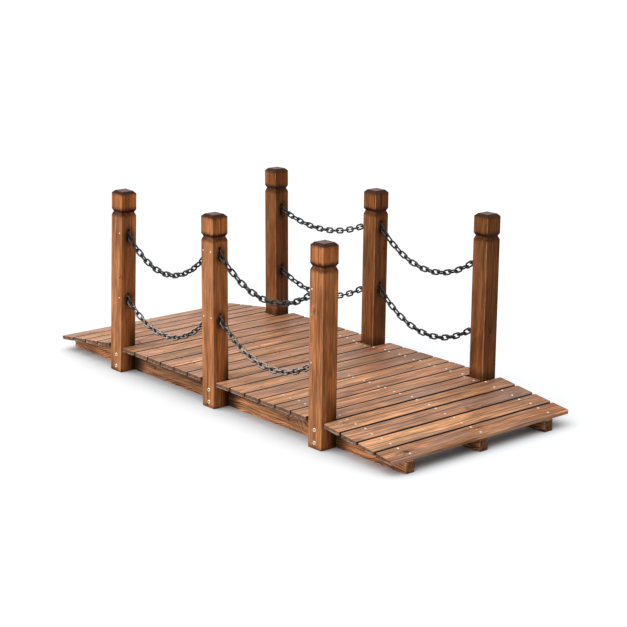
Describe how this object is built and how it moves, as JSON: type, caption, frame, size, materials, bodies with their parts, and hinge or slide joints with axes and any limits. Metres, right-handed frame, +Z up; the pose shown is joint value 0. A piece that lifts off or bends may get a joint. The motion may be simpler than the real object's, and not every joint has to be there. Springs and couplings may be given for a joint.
{
  "type": "wooden footbridge",
  "caption": "Low wooden garden footbridge with a slatted deck, short end ramps, notched posts and hanging chain rails.",
  "frame": {"origin": "on the ground under the middle of the deck", "axes": "+X along the walk, +Y across it to the left, +Z up"},
  "size_m": [1.5336, 0.6835, 0.5614],
  "materials": {
    "deck_wood": "matte",
    "beam_wood": "matte",
    "post_wood": "matte",
    "chain_steel": "satin",
    "nail_steel": "satin"
  },
  "bodies": {
    "root": {"beam_left": "beam_wood", "beam_middle": "beam_wood", "beam_right": "beam_wood", "chain_left_lower_1": "chain_steel", "chain_left_lower_2": "chain_steel", "chain_left_upper_1": "chain_steel", "chain_left_upper_2": "chain_steel", "chain_nails_left": "nail_steel", "chain_nails_right": "nail_steel", "chain_right_lower_1": "chain_steel", "chain_right_lower_2": "chain_steel", "chain_right_upper_1": "chain_steel", "chain_right_upper_2": "chain_steel", "plank_01": "deck_wood", "plank_02": "deck_wood", "plank_03": "deck_wood", "plank_04": "deck_wood", "plank_05": "deck_wood", "plank_06": "deck_wood", "plank_07": "deck_wood", "plank_08": "deck_wood", "plank_09": "deck_wood", "plank_10": "deck_wood", "plank_11": "deck_wood", "plank_12": "deck_wood", "plank_13": "deck_wood", "plank_14": "deck_wood", "plank_15": "deck_wood", "plank_16": "deck_wood", "plank_17": "deck_wood", "plank_18": "deck_wood", "plank_19": "deck_wood", "plank_20": "deck_wood", "plank_21": "deck_wood", "plank_22": "deck_wood", "plank_23": "deck_wood", "post_left_1": "post_wood", "post_left_2": "post_wood", "post_left_3": "post_wood", "post_right_1": "post_wood", "post_right_2": "post_wood", "post_right_3": "post_wood"}
  },
  "joints": []
}
